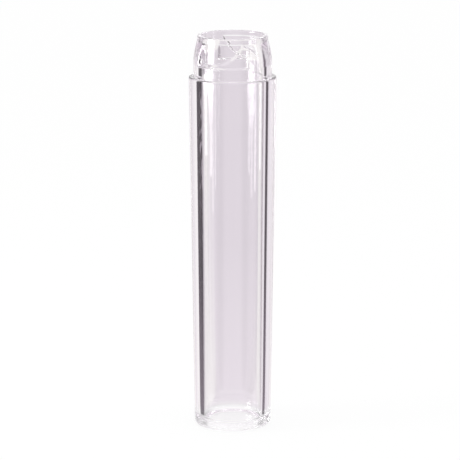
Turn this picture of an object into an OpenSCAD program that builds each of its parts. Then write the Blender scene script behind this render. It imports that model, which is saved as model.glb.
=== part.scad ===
// Clear measuring tube of a manual rain gauge, standing in a clear outer sleeve.
// Millimetres, +Z up, origin on the axis at the underside of the sleeve. The front is -Y.

/* [Overall] */
// Height from the underside of the sleeve to the rim of the lip
total_h = 150; // [120:0.5:200]
// Height of the neck, from the flat shoulder to the rim
neck_h = 15.5; // [13:0.5:20]
// Outside diameter of the sleeve at the shoulder
body_top_d = 32.8; // [32.2:0.1:40]
// Outside diameter of the sleeve at the base, smaller by the moulding draft
body_base_d = 29; // [28.4:0.1:36]

/* [Outer sleeve] */
// Thickness of the sleeve's floor
sleeve_floor = 1; // [0.8:0.1:2]
// Rounding where the sleeve's wall meets its underside
base_round = 1.6; // [0.8:0.1:2.4]
// Rounding of the sleeve's top outer edge
shoulder_round = 0.6; // [0.2:0.05:0.7]

/* [Measuring tube] */
// Radial gap between the measuring tube and the sleeve
slip_gap = 0.15; // [0.1:0.05:0.3]
// Outside diameter of the tube at its foot, smaller by the moulding draft
tube_base_d = 25.5; // [25:0.1:26]
// Bore of the neck and mouth
mouth_d = 23.2; // [20:0.1:24]
// Bore at the floor, smaller by the moulding draft
bore_base_d = 22; // [19:0.1:23]
// Thickness of the tube's own floor
tube_floor = 1.2; // [1:0.1:4]
// Fillet between the bore and the floor
bore_fillet = 2.2; // [1:0.1:4]
// Rounding of the tube's lower outside edge
tube_foot_round = 1.2; // [0.6:0.1:1.6]

/* [Twist-lock neck] */
// Height of the plain lip
lip_h = 2.1; // [1.5:0.1:3]
// Outside diameter of the lip
lip_d = 26.4; // [26:0.1:26.5]
// Rounding of the rim
rim_round = 0.6; // [0.2:0.05:0.7]
// Outside diameter of the collar under the lip, which is also the tube's top diameter in the sleeve
collar_d = 29.2; // [28.8:0.1:29.4]
// Height of the collar's upright wall, below the rounded flank that runs in to the lip
collar_h = 6.5; // [5.5:0.1:8]
// Height of the cam recesses' ledge above the shoulder
ledge_h = 4.6; // [3:0.1:5]
// Diameter of the floor of the cam recesses
recess_d = 26.6; // [26.6:0.1:27.4]
// Number of cam recesses round the neck
cam_count = 2; // [2:1:3]
// Angle from the front at which a recess ends in an upright wall
cam_stop_angle = 24; // [20:1:30]
// Angle from the front at which the cam edge runs out at the foot of the lip
cam_entry_angle = 17.5; // [12:0.5:18]
// Angle from the front of the recess's locking end, where the cam edge is lowest
cam_lock_angle = -52; // [-60:1:-40]
// Height of the recess at its locking end
cam_lock_rise = 0.5; // [0.3:0.1:1.5]
// Power of the cam's rise: 1 is a plain helix, more gives a flatter locking end
cam_power = 3.6; // [1:0.2:4]

/* [Hidden] */
$fn = 128;

shoulder_z = total_h - neck_h;
body_top_r = body_top_d / 2;
body_base_r = body_base_d / 2;
tube_base_r = tube_base_d / 2;
collar_r = collar_d / 2;
tube_floor_z = sleeve_floor + tube_floor;
mouth_r = mouth_d / 2;
bore_base_r = bore_base_d / 2;
ledge_z = shoulder_z + ledge_h;
collar_top_z = shoulder_z + collar_h;
lip_foot_z = total_h - lip_h;
recess_h = lip_foot_z - ledge_z;
lip_r = lip_d / 2;
// The flank is an arc that leaves the collar upright and meets the foot of the lip
flank_h = lip_foot_z - collar_top_z;
flank_in = collar_r - lip_r;
flank_r = (pow(flank_h, 2) + pow(flank_in, 2)) / (2 * flank_in);
// Angle between stations along a cam edge, and room round a cutter so that it cuts cleanly
cam_step = 3;
cut_room = 2;

// Points of an arc about c, from angle a0 to a1
function arc_points(c, r, a0, a1, n = 8) = [
    for (i = [0 : n])
        let (a = a0 + (a1 - a0) * i / n)
        [c[0] + r * cos(a), c[1] + r * sin(a)]
];

// Height of a cam edge at an angle from the front: a power curve that rises from the locking end
function cam_share(a) = max(0, (a - cam_lock_angle) / (cam_entry_angle - cam_lock_angle));
function cam_z(a) = ledge_z + cam_lock_rise + (recess_h - cam_lock_rise) * pow(cam_share(a), cam_power);

// A cup with a closed floor. Its bore follows the tube's draft, a slip gap away.
module outer_sleeve() {
    outside = concat(
        [[0, 0]],
        arc_points([body_base_r - base_round, base_round], base_round, -90, 0),
        arc_points([body_top_r - shoulder_round, shoulder_z - shoulder_round], shoulder_round, 0, 90)
    );
    seat_r = tube_base_r + slip_gap - tube_foot_round;
    inside = concat(
        [[collar_r + slip_gap, shoulder_z]],
        arc_points([seat_r, sleeve_floor + tube_foot_round], tube_foot_round, 0, -90),
        [[0, sleeve_floor]]
    );
    color("lavender", 0.35)
        rotate_extrude()
            polygon(concat(outside, inside));
}

// One recess: a curtain under the cam edge, kept to the ring between the recess floor and the open air
module cam_recess() {
    count = ceil((cam_stop_angle - cam_lock_angle) / cam_step);
    stations = [for (i = [0 : count]) cam_lock_angle + (cam_stop_angle - cam_lock_angle) * i / count];
    near_r = recess_d / 2 - cut_room;
    far_r = collar_r + cut_room;
    corners = [
        for (a = stations)
            for (corner = [[near_r, ledge_z], [far_r, ledge_z], [far_r, cam_z(a)], [near_r, cam_z(a)]])
                [corner[0] * sin(a), -corner[0] * cos(a), corner[1]]
    ];
    sides = [
        for (i = [0 : count - 1])
            for (k = [0 : 3])
                let (n = (k + 1) % 4)
                [4 * i + k, 4 * i + n, 4 * (i + 1) + n, 4 * (i + 1) + k]
    ];
    last = 4 * count;
    intersection() {
        difference() {
            translate([0, 0, ledge_z - cut_room])
                cylinder(h = recess_h + 2 * cut_room, d = collar_d + cut_room);
            translate([0, 0, ledge_z - 2 * cut_room])
                cylinder(h = recess_h + 4 * cut_room, d = recess_d);
        }
        polyhedron(
            points = corners,
            faces = concat(sides, [[3, 2, 1, 0], [last, last + 1, last + 2, last + 3]])
        );
    }
}

// The tube, its collar, flank and lip as one turned blank, without the recesses
module tube_blank() {
    foot_r = tube_base_r - tube_foot_round;
    outside = concat(
        [[0, sleeve_floor]],
        arc_points([foot_r, sleeve_floor + tube_foot_round], tube_foot_round, -90, 0),
        [[collar_r, shoulder_z]],
        arc_points([collar_r - flank_r, collar_top_z], flank_r, 0, asin(flank_h / flank_r)),
        arc_points([lip_r - rim_round, total_h - rim_round], rim_round, 0, 90, 4)
    );
    inside = concat(
        [[mouth_r, total_h], [mouth_r, shoulder_z]],
        arc_points([bore_base_r - bore_fillet, tube_floor_z + bore_fillet], bore_fillet, 0, -90),
        [[0, tube_floor_z]]
    );
    rotate_extrude()
        polygon(concat(outside, inside));
}

module measuring_tube() {
    color("thistle", 0.5)
        difference() {
            tube_blank();
            for (i = [0 : cam_count - 1])
                rotate(i * 360 / cam_count)
                    cam_recess();
        }
}

outer_sleeve();
measuring_tube();
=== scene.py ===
import math
import bpy
import numpy as np
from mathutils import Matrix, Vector


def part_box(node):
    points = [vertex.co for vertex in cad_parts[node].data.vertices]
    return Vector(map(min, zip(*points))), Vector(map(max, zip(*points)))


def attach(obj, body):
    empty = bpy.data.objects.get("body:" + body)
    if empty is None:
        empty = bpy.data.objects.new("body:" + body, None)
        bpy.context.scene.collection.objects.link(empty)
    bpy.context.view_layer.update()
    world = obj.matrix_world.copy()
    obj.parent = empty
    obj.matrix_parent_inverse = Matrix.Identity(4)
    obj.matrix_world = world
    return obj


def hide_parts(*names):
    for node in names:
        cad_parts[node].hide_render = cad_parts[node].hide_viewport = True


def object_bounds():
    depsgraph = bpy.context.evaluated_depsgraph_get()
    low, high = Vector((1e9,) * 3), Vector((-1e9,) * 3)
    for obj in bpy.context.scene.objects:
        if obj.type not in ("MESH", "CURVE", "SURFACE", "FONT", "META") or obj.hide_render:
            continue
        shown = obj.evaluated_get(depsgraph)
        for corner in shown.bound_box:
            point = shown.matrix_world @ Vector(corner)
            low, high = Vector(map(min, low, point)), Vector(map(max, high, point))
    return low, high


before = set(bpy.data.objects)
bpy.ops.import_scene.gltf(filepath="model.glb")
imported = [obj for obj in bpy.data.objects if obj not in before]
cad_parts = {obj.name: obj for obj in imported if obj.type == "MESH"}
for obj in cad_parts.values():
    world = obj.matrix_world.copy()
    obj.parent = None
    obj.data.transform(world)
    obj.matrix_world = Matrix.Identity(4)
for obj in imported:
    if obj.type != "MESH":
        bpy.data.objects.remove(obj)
cadLow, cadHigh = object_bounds()
scene = bpy.context.scene
mm = 0.001
turn = 2 * np.pi
print("frame loaded:", sorted(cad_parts))


# camera

photoCamera = dict(
    frameSize=460,            # the photograph's width and height in pixels
    focalPixels=2539,         # its focal length, from the drop between the rim's and the base's ellipses
    sensor=36,
    nearClip=0.01,
    elevation=12.65,          # degrees above the horizon at the tube's middle
    distance=6.41,            # in tube heights, from the tube's middle
    axisPixel=(232.6, 231.1), # where the tube's middle shows
)


def setCamera(c):
    # the camera looks along +Y and down, and a small shift puts the tube's middle on its pixel
    data = bpy.data.cameras.new("photo_camera")
    camera = bpy.data.objects.new("photo_camera", data)
    scene.collection.objects.link(camera)
    data.sensor_width = c["sensor"]
    data.lens = c["sensor"] * c["focalPixels"] / c["frameSize"]
    half = c["frameSize"] / 2
    data.shift_x = (half - c["axisPixel"][0]) / c["frameSize"]
    data.shift_y = (c["axisPixel"][1] - half) / c["frameSize"]
    data.clip_start = c["nearClip"]
    e = math.radians(c["elevation"])
    back = Vector((0, -math.cos(e), math.sin(e)))
    middle = (cadLow + cadHigh) / 2
    camera.location = middle + back * c["distance"] * (cadHigh.z - cadLow.z)
    camera.rotation_mode = "QUATERNION"
    camera.rotation_quaternion = (-back).to_track_quat("-Z", "Y")
    scene.camera = camera


setCamera(photoCamera)
print("camera set")


# shared shapes

def smoothStep(x, width):
    # 0 to 1 across a band of this width centred on zero, level at both ends
    t = np.clip(x / width + 0.5, 0, 1)
    return t * t * (3 - 2 * t)


def roundedProfile(corners, step=4.0, arcPoints=7, guard=0.05):
    # carries a radius and height profile through its corners, each turned by an arc of its own round,
    # and gives every straight run a point close to both ends so that shading stays true along it
    points = np.array([c[:2] for c in corners], float)
    rounds = [c[2] for c in corners]
    pieces = [points[:1]]
    for before, here, after, r in zip(points[:-2], points[1:-1], points[2:], rounds[1:-1]):
        a = (before - here) / np.linalg.norm(before - here)
        b = (after - here) / np.linalg.norm(after - here)
        half = math.acos(np.clip(a @ b, -1, 1)) / 2
        reach = r / math.tan(half)
        middle = here + (a + b) / np.linalg.norm(a + b) * r / math.sin(half)
        start, end = here + a * reach - middle, here + b * reach - middle
        swing = np.linspace(0, 1, arcPoints)[:, None]
        opening = math.pi - 2 * half
        arc = (np.sin((1 - swing) * opening) * start + np.sin(swing * opening) * end) / math.sin(opening)
        pieces.append(middle + arc)
    pieces.append(points[-1:])
    run = [pieces[0]]
    for last, following in zip(pieces[:-1], pieces[1:]):
        p, q = last[-1], following[0]
        length = np.linalg.norm(q - p)
        if length > 4 * guard:
            inner = np.linspace(0, 1, max(2, int(length / step) + 1))[1:-1]
            t = np.concatenate([[guard / length], inner, [1 - guard / length]])[:, None]
            run.append(p + (q - p) * t)
        run.append(following)
    return np.concatenate(run)


def gridPiece(name, radius, height, angles):
    # a closed skin: row i, column j stands at that radius and height, at angle j from the front (-Y),
    # the first and last rows shrink to one point each on the axis, and the columns wrap round
    rows, columns = radius.shape
    x, y = radius * np.sin(angles), -radius * np.cos(angles)
    body = np.stack([x, y, height], -1)[1:-1].reshape(-1, 3)
    poles = np.array([[0, 0, height[0, 0]], [0, 0, height[-1, 0]]])
    verts = np.concatenate([body, poles]) * mm
    j = np.arange(columns)
    k = (j + 1) % columns
    i = np.arange(rows - 3)[:, None] * columns
    quads = np.stack([i + j, i + k, i + k + columns, i + j + columns], -1).reshape(-1, 4)
    under, over = len(body), len(body) + 1
    top = (rows - 3) * columns
    fans = np.concatenate([
        np.stack([np.full(columns, under), k, j], -1),
        np.stack([np.full(columns, over), top + j, top + k], -1),
    ])
    mesh = bpy.data.meshes.new(name)
    mesh.from_pydata(verts.tolist(), [], quads.tolist() + fans.tolist())
    mesh.polygons.foreach_set("use_smooth", np.ones(len(mesh.polygons), bool))
    mesh.update()
    piece = bpy.data.objects.new(name, mesh)
    scene.collection.objects.link(piece)
    return piece


# clear plastic

clearPlastic = dict(
    ior=1.57,
    paleTint=(0.9995, 0.9985, 0.9995, 1),
    deepTint=(0.997, 0.992, 0.997, 1),
    cloudScale=45,            # clouds of deeper tint to the metre
    rippleAcross=0.004,       # metres between the moulding's flow ripples round the wall, and along it
    rippleAlong=0.03,
    rippleDepth=0.000003,
    rippleDetail=1.5,
    scuffSize=0.0012,
    scuffDetail=3,
    scuffSparse=(0.66, 0.8),  # noise at which a scuff starts, and is full
    scuffRoughness=0.07,
)


def mouldedSkin(c):
    # flow ripples drawn out along the wall, sparse fine scuffs, and a tint that clouds a little
    group = bpy.data.node_groups.new("moulded_skin", "ShaderNodeTree")
    for name, kind in (("Coordinates", "NodeSocketVector"), ("Ripple Size", "NodeSocketVector"),
                       ("Scuff Scale", "NodeSocketFloat"), ("Scuff Roughness", "NodeSocketFloat"),
                       ("Pale Tint", "NodeSocketColor"), ("Deep Tint", "NodeSocketColor")):
        group.interface.new_socket(name, in_out="INPUT", socket_type=kind)
    for name, kind in (("Tint", "NodeSocketColor"), ("Roughness", "NodeSocketFloat"),
                       ("Height", "NodeSocketFloat")):
        group.interface.new_socket(name, in_out="OUTPUT", socket_type=kind)
    nodes, links = group.nodes, group.links
    given, made = nodes.new("NodeGroupInput"), nodes.new("NodeGroupOutput")
    stretch = nodes.new("ShaderNodeVectorMath")
    stretch.operation = "DIVIDE"
    links.new(given.outputs["Coordinates"], stretch.inputs[0])
    links.new(given.outputs["Ripple Size"], stretch.inputs[1])
    ripple = nodes.new("ShaderNodeTexNoise")
    ripple.inputs["Scale"].default_value = 1
    ripple.inputs["Detail"].default_value = c["rippleDetail"]
    links.new(stretch.outputs[0], ripple.inputs["Vector"])
    links.new(ripple.outputs["Fac"], made.inputs["Height"])
    scuff = nodes.new("ShaderNodeTexNoise")
    scuff.inputs["Detail"].default_value = c["scuffDetail"]
    links.new(given.outputs["Coordinates"], scuff.inputs["Vector"])
    links.new(given.outputs["Scuff Scale"], scuff.inputs["Scale"])
    sparse = nodes.new("ShaderNodeMapRange")
    sparse.inputs["From Min"].default_value, sparse.inputs["From Max"].default_value = c["scuffSparse"]
    links.new(scuff.outputs["Fac"], sparse.inputs["Value"])
    links.new(given.outputs["Scuff Roughness"], sparse.inputs["To Max"])
    links.new(sparse.outputs[0], made.inputs["Roughness"])
    cloud = nodes.new("ShaderNodeTexNoise")
    cloud.inputs["Scale"].default_value = c["cloudScale"]
    links.new(given.outputs["Coordinates"], cloud.inputs["Vector"])
    tint = nodes.new("ShaderNodeMix")
    tint.data_type = "RGBA"
    links.new(cloud.outputs["Fac"], tint.inputs["Factor"])
    links.new(given.outputs["Pale Tint"], tint.inputs["A"])
    links.new(given.outputs["Deep Tint"], tint.inputs["B"])
    links.new(tint.outputs["Result"], made.inputs["Tint"])
    return group


skin = mouldedSkin(clearPlastic)


def makeClear(name, c, shine):
    # clear plastic; shine is the share of its mirror finish
    material = bpy.data.materials.new(name)
    material.use_nodes = True
    nodes, links = material.node_tree.nodes, material.node_tree.links
    shader = nodes["Principled BSDF"]
    shader.inputs["IOR"].default_value = c["ior"]
    shader.inputs["Transmission Weight"].default_value = 1
    shader.inputs["Specular Tint"].default_value = (shine, shine, shine, 1)
    place = nodes.new("ShaderNodeTexCoord")
    look = nodes.new("ShaderNodeGroup")
    look.node_tree = skin
    look.inputs["Ripple Size"].default_value = (c["rippleAcross"], c["rippleAcross"], c["rippleAlong"])
    look.inputs["Scuff Scale"].default_value = 1 / c["scuffSize"]
    look.inputs["Scuff Roughness"].default_value = c["scuffRoughness"]
    look.inputs["Pale Tint"].default_value = c["paleTint"]
    look.inputs["Deep Tint"].default_value = c["deepTint"]
    links.new(place.outputs["Object"], look.inputs["Coordinates"])
    links.new(look.outputs["Tint"], shader.inputs["Base Color"])
    links.new(look.outputs["Roughness"], shader.inputs["Roughness"])
    bump = nodes.new("ShaderNodeBump")
    bump.inputs["Strength"].default_value = 1
    bump.inputs["Distance"].default_value = c["rippleDepth"]
    links.new(look.outputs["Height"], bump.inputs["Height"])
    links.new(bump.outputs[0], shader.inputs["Normal"])
    return material


polished = makeClear("clear_polished", clearPlastic, 1)
seated = makeClear("clear_seated", clearPlastic, 0)
print("plastic made")


def dressPiece(piece, firstRow, lastRow, columns):
    # the rows of faces that seat against the other piece take the seated finish
    piece.data.materials.append(polished)
    piece.data.materials.append(seated)
    slots = np.zeros(len(piece.data.polygons), np.int32)
    slots[firstRow * columns:lastRow * columns] = 1
    piece.data.polygons.foreach_set("material_index", slots)


# outer sleeve

overlap = 0.01            # the seated faces pass each other by this much, so that the wall reads as one
seam = 0.02               # room between the rows where two runs of a profile meet
sleeveLow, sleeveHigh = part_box("outer_sleeve")
tubeLow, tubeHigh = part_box("measuring_tube")
sleeveShape = dict(
    topZ=sleeveHigh.z / mm,
    topRadius=sleeveHigh.x / mm,
    baseRadius=14.5,
    floorZ=tubeLow.z / mm,
    seatTop=tubeHigh.x / mm - overlap,  # inside radius at the top, and at the floor
    seatBase=12.75 - overlap,
    baseRound=1.6,
    shoulderRound=0.6,
    mouthRound=0.1,
    seatRound=1.2,
    columns=288,
)


def makeSleeve(s):
    # a cup turned about its axis: underside, drafted outside, flat shoulder, drafted inside, floor
    corners = [
        (0, 0, 0),
        (s["baseRadius"], 0, s["baseRound"]),
        (s["topRadius"], s["topZ"], s["shoulderRound"]),
        (s["seatTop"], s["topZ"], s["mouthRound"]),
        (s["seatBase"], s["floorZ"], s["seatRound"]),
        (0, s["floorZ"], 0),
    ]
    profile = roundedProfile(corners)
    angles = np.linspace(0, turn, s["columns"], endpoint=False)
    radius = np.repeat(profile[:, :1], s["columns"], 1)
    height = np.repeat(profile[:, 1:], s["columns"], 1)
    piece = gridPiece("outer_sleeve_clear", radius, height, angles)
    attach(piece, "sleeve")
    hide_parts("outer_sleeve")
    inner = np.argmax(profile[:, 1] * (profile[:, 0] < s["seatTop"] + seam))
    dressPiece(piece, inner - 1, len(profile) - 3, s["columns"])
    return piece


sleeve = makeSleeve(sleeveShape)
print("sleeve made:", len(sleeve.data.polygons), "faces")


# measuring tube with its twist-lock neck

tubeShape = dict(
    rimZ=tubeHigh.z / mm,
    shoulderZ=sleeveHigh.z / mm,
    footZ=tubeLow.z / mm - overlap,
    footRadius=12.75,
    collarRadius=tubeHigh.x / mm,
    footRound=1.2,
    mouthRadius=11.6,
    boreRadius=11.0,
    boreFloorZ=2.2,
    boreFillet=2.2,
    boreBend=40,          # radius of the turn from the straight mouth to the drafted bore
    rimRound=0.6,
    lipStart=0.6,         # height above the foot of the lip where the plain lip starts
    lipDraft=0.1,         # how much narrower the lip is at the rim
    neckRow=0.1,          # height between rows up the neck
    columns=376,
    crowd=0.55,           # share by which the columns stand closer together, and the angle where they do
    crowdAngle=12,
)
neckShape = dict(
    collarRadius=tubeHigh.x / mm,
    collarTopZ=141.0,     # where the upright collar turns into the rounded flank
    ledgeZ=139.1,         # level ledge that the fields between the pads end on
    lipFootZ=147.9,
    lipRadius=13.2,
    bareRadius=12.95,     # outside of the bare wall between the pads
    padAngle=-57,         # degrees from the front, to the right of it when positive, where one pad ends
    stopAngle=24,         # and where the next one starts
    lockAngle=-52,        # lowest and highest place of the cam edge between them
    entryAngle=17.5,
    lockRise=0.7,
    risePower=3.6,
    runOn=1.3,            # share of its run to which the cam edge is carried on above the foot of the lip
    fieldRise=0.85,       # how far the field under the cam edge stands out from the bare wall
    flankLean=0.07,       # slope of the flank where it leaves the collar
    ledgeEdge=0.7,        # widths over which the edges turn
    camEdge=1.2,
    stopEdge=1.7,
    padEdge=4.0,
    lipEdge=0.3,
    lipBlend=0.06,        # how softly the flank turns into the lip
)


def neckRadius(z, angle, n):
    # an upright collar, a flank that curves from its top in to the foot of the lip as the square of the
    # height, and the lip. Two fields half a turn apart are cut back to the bare wall between a level ledge
    # and the foot of the lip, which leaves two pads with upright ends. In each field a cam edge rises as a
    # power of the angle, and below it the field is cut less deep
    flankHeight = n["lipFootZ"] - n["collarTopZ"]
    flankDepth = n["collarRadius"] - n["lipRadius"]
    bend = (flankDepth - n["flankLean"] * flankHeight) / flankHeight ** 2
    up = np.maximum(z - n["collarTopZ"], 0)
    proud = flankDepth - n["flankLean"] * up - bend * up ** 2
    turned = n["lipRadius"] + 0.5 * (proud + np.sqrt(proud ** 2 + n["lipBlend"] ** 2))
    # the angle from the front, or from the back for the second field
    local = (np.degrees(angle) - n["stopAngle"]) % 180 + n["stopAngle"]
    beyond = 0.5 * (180 + n["stopAngle"] + n["lockAngle"])
    local = np.where(local > beyond, local - 180, local)
    share = np.clip((local - n["lockAngle"]) / (n["entryAngle"] - n["lockAngle"]), 0, n["runOn"])
    reach = n["lipFootZ"] - n["ledgeZ"] - n["lockRise"]
    camZ = n["ledgeZ"] + n["lockRise"] + reach * share ** n["risePower"]
    perDegree = n["collarRadius"] * math.radians(1)
    slope = reach * n["risePower"] * share ** (n["risePower"] - 1) / (
        (n["entryAngle"] - n["lockAngle"]) * perDegree)
    underCam = smoothStep((camZ - z) / np.sqrt(1 + slope ** 2), n["camEdge"])
    field = np.minimum(n["bareRadius"] + n["fieldRise"] * underCam, turned)
    inside = smoothStep(z - n["ledgeZ"], n["ledgeEdge"]) * smoothStep(n["lipFootZ"] - z, n["lipEdge"])
    inside = inside * smoothStep((local - n["padAngle"]) * perDegree, n["padEdge"])
    inside = inside * smoothStep((n["stopAngle"] - local) * perDegree, n["stopEdge"])
    return turned + (field - turned) * inside


def makeTube(t, n):
    # rows run from the underside up the drafted wall, up the neck, over the rim and down the bore
    outer = roundedProfile([
        (0, t["footZ"], 0),
        (t["footRadius"], t["footZ"], t["footRound"]),
        (t["collarRadius"], t["shoulderZ"] - seam, 0),
    ])
    lipStart = n["lipFootZ"] + t["lipStart"]
    inner = roundedProfile([
        (n["lipRadius"], lipStart, 0),
        (n["lipRadius"] - t["lipDraft"], t["rimZ"], t["rimRound"]),
        (t["mouthRadius"], t["rimZ"], t["rimRound"]),
        (t["mouthRadius"], t["shoulderZ"], t["boreBend"]),
        (t["boreRadius"], t["boreFloorZ"], t["boreFillet"]),
        (0, t["boreFloorZ"], 0),
    ])
    # the columns crowd together where the cam edges are steep, by the sine of twice the angle from there
    even = np.linspace(0, turn, t["columns"], endpoint=False)
    angles = even - t["crowd"] / 2 * np.sin(2 * (even - math.radians(t["crowdAngle"])))
    neckZ = np.arange(t["shoulderZ"] + seam, lipStart - t["neckRow"] / 2, t["neckRow"])
    wide = np.ones((1, t["columns"]))
    radius = np.concatenate([
        outer[:, :1] * wide,
        neckRadius(neckZ[:, None], angles[None, :], n),
        inner[:, :1] * wide,
    ])
    height = np.concatenate([outer[:, 1:] * wide, neckZ[:, None] * wide, inner[:, 1:] * wide])
    piece = gridPiece("measuring_tube_clear", radius, height, angles)
    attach(piece, "tube")
    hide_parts("measuring_tube")
    dressPiece(piece, 0, len(outer) - 2, t["columns"])
    return piece


tube = makeTube(tubeShape, neckShape)
print("tube made:", len(tube.data.polygons), "faces")


# studio

studio = dict(
    floorSize=6.0,
    floorDrop=0.00005,        # metres by which the floor clears the underside
    paperColour=(0.9, 0.9, 0.9, 1),
    bounces=160,
    nearFloor=0.0,            # metres from the axis, between which the floor fades from near to far
    farFloor=0.33,
    nearLight=1.1,            # how much lighter the floor is right under the object
    # metres from the axis and the brightness right under the object, and at its sides, where its rounded
    # edge lies in its own shadow
    close=[(0, 0.92), (0.0105, 0.92), (0.012, 1.0), (0.017, 1.0), (0.02, 0.9), (0.05, 0.9)],
    sides=[(0, 0.92), (0.0115, 0.95), (0.0128, 0.6), (0.0155, 0.6), (0.018, 0.88), (0.05, 0.88)],
    sideFade=(0.6, 0.9),      # sine of the compass angles over which the sides' brightness comes in
    closeFade=(0.022, 0.034), # distances over which this gives way to the open floor
    sky=1.0,
    # dark flags that stand behind the floor on either side, as degrees from straight behind and brightness,
    # and the sines of the heights where they start and end
    flags=[(-180, 1), (-84, 1), (-79, 0.25), (-61, 0.25), (-58, 0.6), (-47, 0.6), (-44, 0.25),
           (-36, 0.25), (-33, 1), (33, 1), (36, 0.25), (44, 0.25), (47, 0.6), (58, 0.6), (61, 0.25),
           (79, 0.25), (84, 1), (180, 1)],
    flagFoot=(0.2, 0.24),
    flagTop=(0.36, 0.42),
    shadow=0.06,              # how far the white floor takes the object's shadow
    # degrees from straight behind the object, left negative, and the brightness there
    surround=[(-180, 0.75), (-53, 0.85), (-51, 0.65), (-36, 0.65), (-34.5, 1.0), (-22, 1.0),
              (-16, 0.92), (-11, 0.9), (-9.5, 0.82), (0, 0.8), (14, 0.84), (21, 0.88), (23, 1.0),
              (28, 1.0), (30, 0.93), (35, 0.98), (36.5, 0.65), (51, 0.65), (53, 0.85), (180, 0.75)],
    # the same for the bare neck, where straight light crosses this many faces in place of eight, and the
    # distances over which it gives way to the white floor that the neck's edges bend light down to
    bareFaces=4,
    neckAround=[(-180, 0.8), (-38, 0.8), (-34, 0.5), (-17, 0.5), (-13, 0.82), (0, 0.8), (14, 0.84),
                (20, 1.0), (45, 1.0), (52, 0.8), (180, 0.8)],
    neckNear=(0.74, 0.6),
    straightFrom=(0.022, 0.004),  # how far aside of the axis, at most, and behind it those angles start
    narrowest=0.1,            # least share of the way aside that counts close to the axis
    frontLight=0.45,          # share of this that the outside's own reflection shows, beyond these angles
    frontFrom=(60, 70),
    # the same for light that has turned inside the wall, with a dark card on either side
    turned=[(-180, 0.85), (-152, 0.85), (-138, 0.3), (-120, 0.3), (-106, 0.85), (-96, 0.9), (-94, 0.4),
            (-72, 0.4), (-71, 0.03), (-38.5, 0.03), (-37.5, 1.0), (-10, 0.93), (10, 0.93), (39, 0.86),
            (40, 0.03), (53, 0.03), (54, 0.9), (64.5, 0.9), (65.5, 0.1), (72, 0.1), (75, 0.4),
            (94, 0.4), (96, 0.9), (106, 0.85), (120, 0.3), (138, 0.3), (152, 0.85), (180, 0.85)],
    turnedFrom=(0.0115, -0.0073),  # aside of the axis and in front of it, in metres, where those angles start
    cardNear=0.17,            # how light the cards are right under the object
    paintedFleckSize=(8.0, 0.04),    # degrees across and metres along the painted light flecks on the left card, patches of light that show as light flecks in the wall's dark band
    paintedFleckAngles=(-74, -50),
    paintedFleckPlace=(0.4, 0.5, 0.8, 0.86),  # distances between which they come in and go
    paintedFleckEdges=(0.002, 0.02), # shares of a turn over which they come in on the left and go on the right
    paintedFleckCut=(0.5, 0.58),     # noise at which a painted light fleck starts, and is full
    paintedFleckLight=0.34,
    # light that turns inside the bare neck crosses fewer faces than this, and meets the cards only between
    # these distances; elsewhere it meets brightnesses of its own
    neckFaces=4.5,
    neckCards=(0.8, 0.887),
    neckTurned=[(-180, 0.85), (-155, 0.85), (-150, 0.35), (-116, 0.35), (-112, 0.85), (-98, 0.85),
                (-94, 0.35), (-72, 0.35), (-68, 0.85), (-61, 0.85), (-58, 0.4), (-47, 0.4), (-44, 0.85),
                (-36, 0.85), (-34, 0.55), (-25, 0.55), (-23, 0.85), (8, 0.85), (12, 0.7), (44, 0.7),
                (46, 0.15), (57, 0.15), (59, 0.85), (72, 0.85), (78, 0.6), (94, 0.6), (98, 0.85),
                (112, 0.85), (116, 0.35), (150, 0.35), (155, 0.85), (180, 0.85)],
    underObject=0.024,        # distance within which the floor is plain white to turned light as well
    # brightness and the colour of the light there: purple in the dark, lavender, and cream where brightest
    paper=[(0, (0.95, 0.66, 0.95)), (0.3, (0.947, 0.84, 0.947)), (0.7, (0.947, 0.882, 0.947)),
           (0.88, (0.947, 0.885, 0.945)), (1, (0.99, 0.965, 0.96))],
)


once = 0.5                # a count of faces above this is one at least


def mathNode(tree, operation, *values):
    node = tree.nodes.new("ShaderNodeMath")
    node.operation = operation
    for socket, value in zip(node.inputs, values):
        if isinstance(value, (int, float)):
            socket.default_value = value
        else:
            tree.links.new(value, socket)
    return node.outputs[0]


def compassNodes(tree, x, y):
    # the compass angle of a place, from straight behind, as a share of the whole turn
    compass = mathNode(tree, "ARCTAN2", x, y)
    return mathNode(tree, "ADD", mathNode(tree, "DIVIDE", compass, turn), 0.5)


def stepNodes(tree, value, low, high):
    # 0 at the low value and 1 at the high one, level beyond them; the low value may be the greater
    step = tree.nodes.new("ShaderNodeMapRange")
    step.inputs["From Min"].default_value = low
    step.inputs["From Max"].default_value = high
    tree.links.new(value, step.inputs["Value"])
    return step.outputs[0]


def mixNodes(tree, share, a, b):
    mix = tree.nodes.new("ShaderNodeMix")
    tree.links.new(share, mix.inputs["Factor"])
    for socket, value in ((mix.inputs["A"], a), (mix.inputs["B"], b)):
        tree.links.new(value, socket)
    return mix.outputs["Result"]


def turnedNodes(tree, path):
    # 1 for light that has turned inside the wall: it was mirrored and also crossed a face
    turned = mathNode(tree, "MINIMUM", path.outputs["Glossy Depth"], path.outputs["Transmission Depth"])
    return mathNode(tree, "GREATER_THAN", turned, once)


def rampNodes(tree, share, stops):
    # a ramp from pairs of place and brightness or colour; share runs from 0 at the first to 1 at the last
    ramp = tree.nodes.new("ShaderNodeValToRGB")
    tree.links.new(share, ramp.inputs[0])
    marks = ramp.color_ramp.elements
    first, last = stops[0][0], stops[-1][0]
    for k, (place, look) in enumerate(stops):
        colour = look if isinstance(look, tuple) else (look, look, look)
        position = (place - first) / (last - first)
        mark = marks[0] if k == 0 else marks[len(marks) - 1] if k == len(stops) - 1 else marks.new(position)
        mark.position = position
        mark.color = (*colour, 1)
    return ramp.outputs["Color"]


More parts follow.
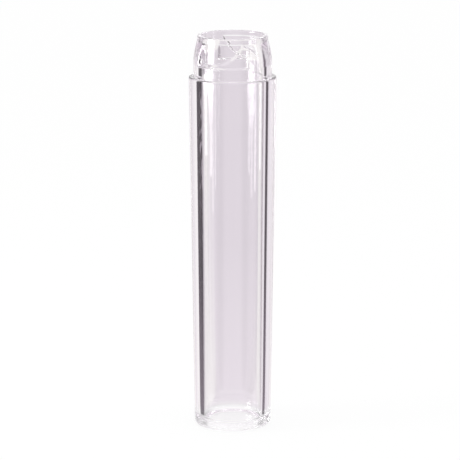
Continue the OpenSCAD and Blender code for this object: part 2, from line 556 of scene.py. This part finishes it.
def paintedFleckNodes(tree, share, distance, s):
    # painted light: small flecks of light over part of the left card, which show as light flecks in the
    # wall's dark band
    grid = tree.nodes.new("ShaderNodeCombineXYZ")
    tree.links.new(mathNode(tree, "MULTIPLY", share, 360 / s["paintedFleckSize"][0]), grid.inputs["X"])
    tree.links.new(mathNode(tree, "DIVIDE", distance, s["paintedFleckSize"][1]), grid.inputs["Y"])
    noise = tree.nodes.new("ShaderNodeTexNoise")
    noise.inputs["Scale"].default_value = 1
    tree.links.new(grid.outputs[0], noise.inputs["Vector"])
    low, high = [angle / 360 + 0.5 for angle in s["paintedFleckAngles"]]
    leftEdge, rightEdge = s["paintedFleckEdges"]
    comes, come, goes, gone = s["paintedFleckPlace"]
    light = stepNodes(tree, noise.outputs["Fac"], *s["paintedFleckCut"])
    for value, start, end in ((share, low, low + leftEdge), (share, high, high - rightEdge),
                              (distance, comes, come), (distance, gone, goes)):
        light = mathNode(tree, "MULTIPLY", light, stepNodes(tree, value, start, end))
    return mathNode(tree, "MULTIPLY", light, s["paintedFleckLight"])


def floorColour(tree, s):
    # the floor as the clear plastic sees it: lighter near the object, with dark cards at the sides,
    # and plain white where the camera sees it directly
    nodes, links = tree.nodes, tree.links
    place = nodes.new("ShaderNodeTexCoord")
    path = nodes.new("ShaderNodeLightPath")
    faces = path.outputs["Transmission Depth"]
    split = nodes.new("ShaderNodeSeparateXYZ")
    links.new(place.outputs["Object"], split.inputs[0])
    x, y = split.outputs["X"], split.outputs["Y"]
    length = nodes.new("ShaderNodeVectorMath")
    length.operation = "LENGTH"
    links.new(place.outputs["Object"], length.inputs[0])
    distance = length.outputs["Value"]
    fade = stepNodes(tree, distance, s["nearFloor"], s["farFloor"])
    # straight light leaves the wall aside of the axis, by more the further it bends
    aside, behind = s["straightFrom"]
    narrow = mathNode(tree, "SUBTRACT", 1, mathNode(tree, "DIVIDE", aside, distance))
    narrow = mathNode(tree, "MULTIPLY", x, mathNode(tree, "MAXIMUM", narrow, s["narrowest"]))
    straight = compassNodes(tree, narrow, mathNode(tree, "SUBTRACT", y, behind))
    around = rampNodes(tree, straight, s["surround"])
    neckAround = rampNodes(tree, straight, s["neckAround"])
    neckAround = mathNode(tree, "MAXIMUM", neckAround, stepNodes(tree, distance, *s["neckNear"]))
    bare = mathNode(tree, "COMPARE", faces, s["bareFaces"])
    around = mixNodes(tree, bare, around, neckAround)
    offBehind = mathNode(tree, "ABSOLUTE", mathNode(tree, "SUBTRACT", straight, 0.5))
    front = stepNodes(tree, offBehind, *[angle / 360 for angle in s["frontFrom"]])
    front = mathNode(tree, "MULTIPLY", front, mathNode(tree, "LESS_THAN", faces, once))
    front = mathNode(tree, "MULTIPLY", front, 1 - s["frontLight"])
    around = mathNode(tree, "MULTIPLY", around, mathNode(tree, "SUBTRACT", 1, front))
    lift = mathNode(tree, "MULTIPLY_ADD", fade, 1 - s["nearLight"], s["nearLight"])
    lit = mathNode(tree, "MINIMUM", mathNode(tree, "MULTIPLY", around, lift), 1.0)
    share = mathNode(tree, "DIVIDE", distance, s["close"][-1][0])
    sideways = mathNode(tree, "ABSOLUTE", mathNode(tree, "DIVIDE", x, distance))
    sideways = stepNodes(tree, sideways, *s["sideFade"])
    close = mixNodes(tree, sideways, rampNodes(tree, share, s["close"]), rampNodes(tree, share, s["sides"]))
    away = stepNodes(tree, distance, *s["closeFade"])
    under = mixNodes(tree, away, close, lit)
    # turned light leaves the wall on the side that it came in
    aside = mathNode(tree, "MULTIPLY", mathNode(tree, "SIGN", x), s["turnedFrom"][0])
    fromStart = compassNodes(
        tree, mathNode(tree, "SUBTRACT", x, aside), mathNode(tree, "SUBTRACT", y, s["turnedFrom"][1]))
    cardLight = mathNode(tree, "MULTIPLY", mathNode(tree, "SUBTRACT", 1, fade), s["cardNear"])
    cards = mathNode(tree, "MAXIMUM", rampNodes(tree, fromStart, s["turned"]), cardLight)
    # painted light: flecks of light on the left card
    cards = mathNode(tree, "MAXIMUM", cards, paintedFleckNodes(tree, fromStart, distance, s))
    clearOf = mathNode(tree, "GREATER_THAN", distance, s["underObject"])
    turned = mathNode(tree, "MULTIPLY", turnedNodes(tree, path), clearOf)
    # it crosses two faces in the bare neck, four where it leaves through the sleeve, six in the sleeved wall
    inNeck = mathNode(tree, "MULTIPLY", turned, mathNode(tree, "LESS_THAN", faces, s["neckFaces"]))
    cardsFrom, cardsTo = s["neckCards"]
    inBand = mathNode(tree, "MULTIPLY", mathNode(tree, "GREATER_THAN", distance, cardsFrom),
                      mathNode(tree, "LESS_THAN", distance, cardsTo))
    inNeck = mathNode(tree, "MULTIPLY", inNeck, mathNode(tree, "SUBTRACT", 1, inBand))
    light = mixNodes(tree, turned, under, cards)
    light = mixNodes(tree, inNeck, light, rampNodes(tree, fromStart, s["neckTurned"]))
    paper = nodes.new("ShaderNodeMix")
    paper.data_type = "RGBA"
    links.new(away, paper.inputs["Factor"])
    paper.inputs["A"].default_value = (1, 1, 1, 1)
    links.new(rampNodes(tree, light, s["paper"]), paper.inputs["B"])
    tinted = nodes.new("ShaderNodeVectorMath")
    tinted.operation = "SCALE"
    links.new(paper.outputs["Result"], tinted.inputs[0])
    links.new(light, tinted.inputs["Scale"])
    white = nodes.new("ShaderNodeMix")
    white.data_type = "RGBA"
    links.new(path.outputs["Is Camera Ray"], white.inputs["Factor"])
    links.new(tinted.outputs["Vector"], white.inputs["A"])
    white.inputs["B"].default_value = (1, 1, 1, 1)
    return white.outputs["Result"]


def makeFloor(s):
    half = s["floorSize"] / 2
    mesh = bpy.data.meshes.new("studio_floor")
    corners = [(-half, -half, 0), (half, -half, 0), (half, half, 0), (-half, half, 0)]
    mesh.from_pydata(corners, [], [(0, 1, 2, 3)])
    floor = bpy.data.objects.new("studio_floor", mesh)
    floor.location.z = -s["floorDrop"]
    scene.collection.objects.link(floor)
    material = bpy.data.materials.new("studio_floor")
    material.use_nodes = True
    tree = material.node_tree
    tree.nodes.clear()
    glow = tree.nodes.new("ShaderNodeEmission")
    paper = tree.nodes.new("ShaderNodeBsdfDiffuse")
    paper.inputs["Color"].default_value = s["paperColour"]
    mix = tree.nodes.new("ShaderNodeMixShader")
    path = tree.nodes.new("ShaderNodeLightPath")
    tree.links.new(mathNode(tree, "MULTIPLY", path.outputs["Is Camera Ray"], s["shadow"]), mix.inputs[0])
    end = tree.nodes.new("ShaderNodeOutputMaterial")
    tree.links.new(floorColour(tree, s), glow.inputs["Color"])
    tree.links.new(glow.outputs[0], mix.inputs[1])
    tree.links.new(paper.outputs[0], mix.inputs[2])
    tree.links.new(mix.outputs[0], end.inputs["Surface"])
    mesh.materials.append(material)


def makeWorld(s):
    world = bpy.data.worlds.new("studio_world")
    scene.world = world
    world.use_nodes = True
    tree = world.node_tree
    tree.nodes.clear()
    path = tree.nodes.new("ShaderNodeLightPath")
    sky = tree.nodes.new("ShaderNodeBackground")
    end = tree.nodes.new("ShaderNodeOutputWorld")
    place = tree.nodes.new("ShaderNodeTexCoord")
    split = tree.nodes.new("ShaderNodeSeparateXYZ")
    tree.links.new(place.outputs["Generated"], split.inputs[0])
    flags = rampNodes(tree, compassNodes(tree, split.outputs["X"], split.outputs["Y"]), s["flags"])
    # only light that has turned inside the wall shows the flags
    band = mathNode(tree, "MULTIPLY", stepNodes(tree, split.outputs["Z"], *s["flagFoot"]),
                    stepNodes(tree, split.outputs["Z"], *reversed(s["flagTop"])))
    shown = mathNode(tree, "MULTIPLY", turnedNodes(tree, path), band)
    shade = mathNode(tree, "MULTIPLY", mathNode(tree, "SUBTRACT", 1, flags), shown)
    tree.links.new(mathNode(tree, "SUBTRACT", s["sky"], shade), sky.inputs["Color"])
    tree.links.new(sky.outputs[0], end.inputs["Surface"])


softboxes = [
    # from foot to top: height, left and right edge in degrees from straight behind, and brightness
    dict(name="left_box", distance=0.45, slices=14, outline=[
        (0.012, -109.5, -101, 3.5), (0.042, -109.5, -101, 3.5), (0.054, -114, -96, 5.0),
        (0.06, -117, -92, 7.0), (0.066, -111, -91, 9.0), (0.4, -111, -91, 9.0)]),
    dict(name="right_strip", distance=0.45, slices=1, outline=[
        (0.004, 98.6, 104.4, 3.5), (0.4, 98.6, 104.4, 3.5)]),
]


def makePanel(name, distance, low, high, left, right, glow):
    # an upright panel that faces the tube; glow is its brightness, where the white floor is 1
    light = bpy.data.lights.new(name, "AREA")
    light.shape = "RECTANGLE"
    light.size, light.size_y = distance * math.radians(right - left), high - low
    light.energy = glow * math.pi * light.size * light.size_y
    panel = bpy.data.objects.new(name, light)
    scene.collection.objects.link(panel)
    a = math.radians((left + right) / 2)
    aside = Vector((math.sin(a), math.cos(a), 0))
    panel.location = aside * distance + Vector((0, 0, (low + high) / 2))
    panel.rotation_mode = "QUATERNION"
    panel.rotation_quaternion = (-aside).to_track_quat("-Z", "Y")


def makeSoftbox(b):
    # a stack of panels; where the box widens upwards it is cut into thin slices, so that its edge is smooth
    heights, *edges = np.array(b["outline"]).T
    cuts = np.unique(np.concatenate([heights[[0, -1]], np.linspace(heights[1], heights[-2], b["slices"])]))
    for k, (low, high) in enumerate(zip(cuts[:-1], cuts[1:])):
        left, right, glow = [np.interp((low + high) / 2, heights, edge) for edge in edges]
        makePanel(f"{b['name']}_{k}", b["distance"], low, high, left, right, glow)


makeFloor(studio)
makeWorld(studio)
for b in softboxes:
    makeSoftbox(b)
scene.view_settings.view_transform = "Standard"
scene.cycles.max_bounces = studio["bounces"]
scene.cycles.transmission_bounces = studio["bounces"]
scene.cycles.glossy_bounces = studio["bounces"]
print("studio lit")
